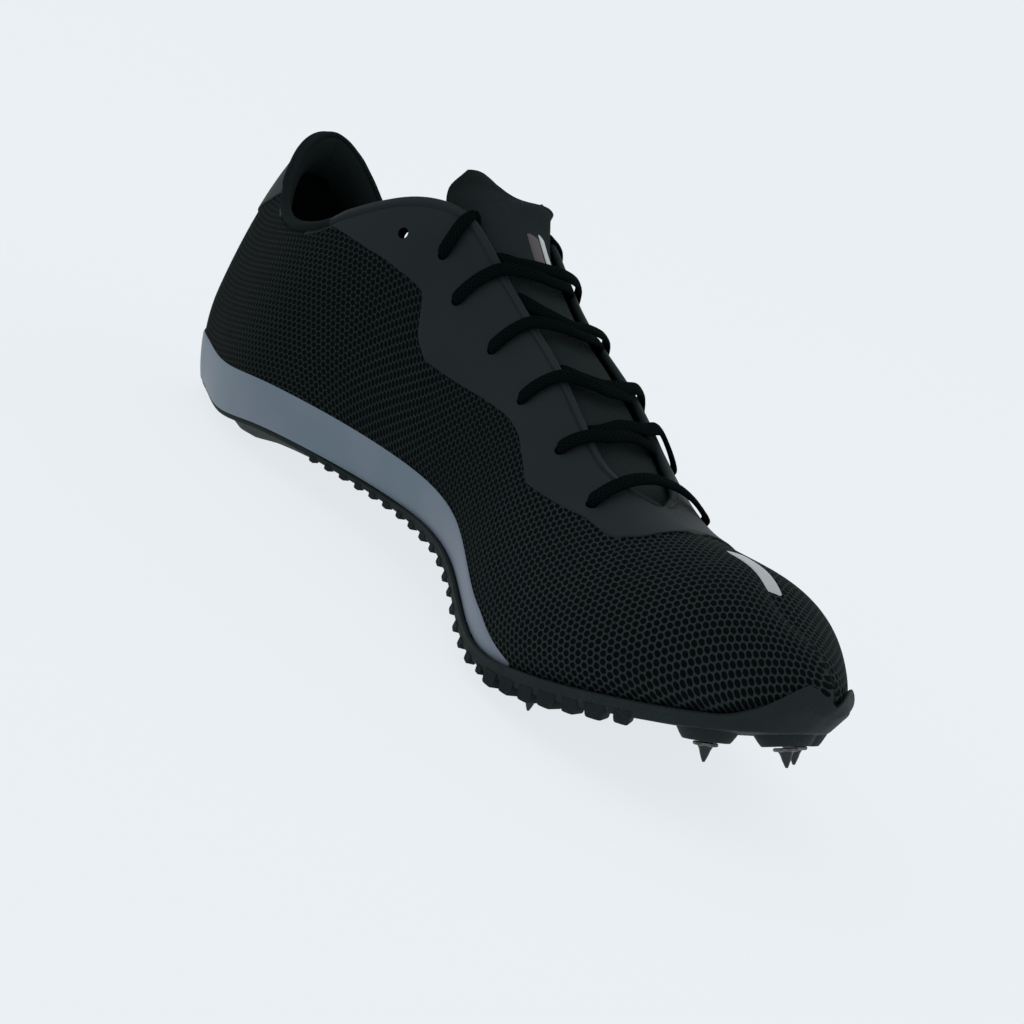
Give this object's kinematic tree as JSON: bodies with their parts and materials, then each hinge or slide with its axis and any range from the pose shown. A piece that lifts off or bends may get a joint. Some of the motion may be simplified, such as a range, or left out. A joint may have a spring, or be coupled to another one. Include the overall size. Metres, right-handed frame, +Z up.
{
  "type": "running track spike shoe",
  "caption": "Left track sprint shoe with a hollow mesh upper, raised heel tab, laced throat and a thin spiked sole.",
  "frame": {"origin": "middle of the shoe's length and width, on the floor that it stands on", "axes": "+X from the heel to the toe, +Y towards the lateral side (the wearer's left), +Z up"},
  "size_m": [0.2798, 0.0897, 0.1108],
  "materials": {
    "outsole": "satin",
    "insole": "matt",
    "upper": "matt",
    "tongue": "matt",
    "lace": "matt",
    "spike": "satin"
  },
  "bodies": {
    "root": {"outsole": "outsole", "insole": "insole", "upper": "upper", "tongue": "tongue", "lace_bar": "lace", "lace_crossing_1": "lace", "lace_crossing_2": "lace", "lace_crossing_3": "lace", "lace_crossing_4": "lace", "lace_crossing_5": "lace", "spike_medial_rear": "spike", "spike_medial_middle": "spike", "spike_medial_front": "spike", "spike_lateral_rear": "spike", "spike_lateral_middle": "spike", "spike_lateral_front": "spike"}
  },
  "joints": []
}
